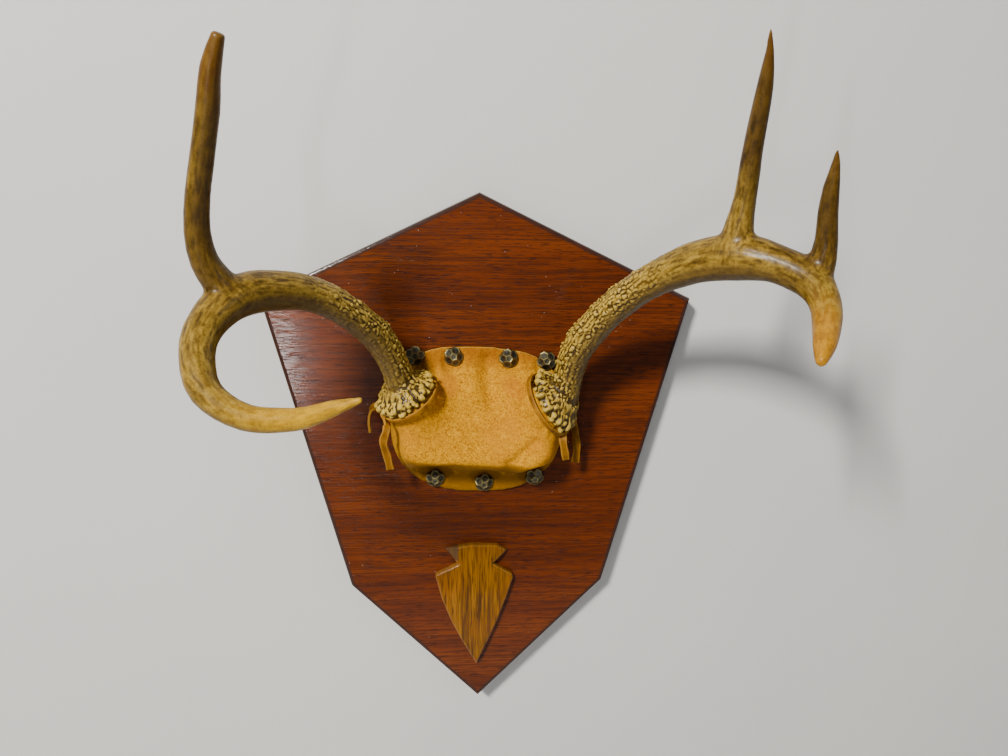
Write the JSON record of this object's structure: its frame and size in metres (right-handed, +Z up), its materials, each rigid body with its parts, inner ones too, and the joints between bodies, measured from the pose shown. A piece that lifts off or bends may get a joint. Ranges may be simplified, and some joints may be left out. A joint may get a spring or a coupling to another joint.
{
  "type": "deer antler mount",
  "caption": "Whitetail antler rack on a leather-covered skull plate, nailed to a shield-shaped wooden wall plaque with a wooden arrowhead below.",
  "frame": {"origin": "middle of the board's flat back, where it lies against the wall", "axes": "+Z up, +Y into the wall, so the antlers come out towards -Y; +X to the viewer's right"},
  "size_m": [0.2986, 0.1944, 0.4044],
  "materials": {
    "board": "red-brown mahogany veneer, semi-gloss varnish, dark bevelled edge",
    "hanger": "zinc-plated steel",
    "leather": "golden tan suede, napped and a little soiled",
    "lace": "tan leather thong with smooth edges",
    "nails": "antiqued bronze, faceted, brassy on the ridges",
    "arrowhead": "golden brown oak, glossy varnish, knife-cut edges",
    "antler": "antler: olive-brown, pearled at the foot, polished ivory to amber at the tips, under a coat of varnish"
  },
  "bodies": {
    "root": {"board": "board", "hanger_plate": "hanger", "hanger_screw_upper": "hanger", "hanger_screw_lower": "hanger", "leather_cover": "leather", "nail_top_1": "nails", "nail_top_2": "nails", "nail_top_3": "nails", "nail_top_4": "nails", "nail_bottom_1": "nails", "nail_bottom_2": "nails", "nail_bottom_3": "nails", "arrowhead": "arrowhead", "left_beam_base": "antler", "left_g2_tine": "antler", "left_beam_tip": "antler", "right_beam_base": "antler", "right_g2_tine": "antler", "right_beam_middle": "antler", "right_g3_tine": "antler", "right_beam_tip": "antler", "lace_left": "lace", "lace_right": "lace"}
  },
  "joints": []
}
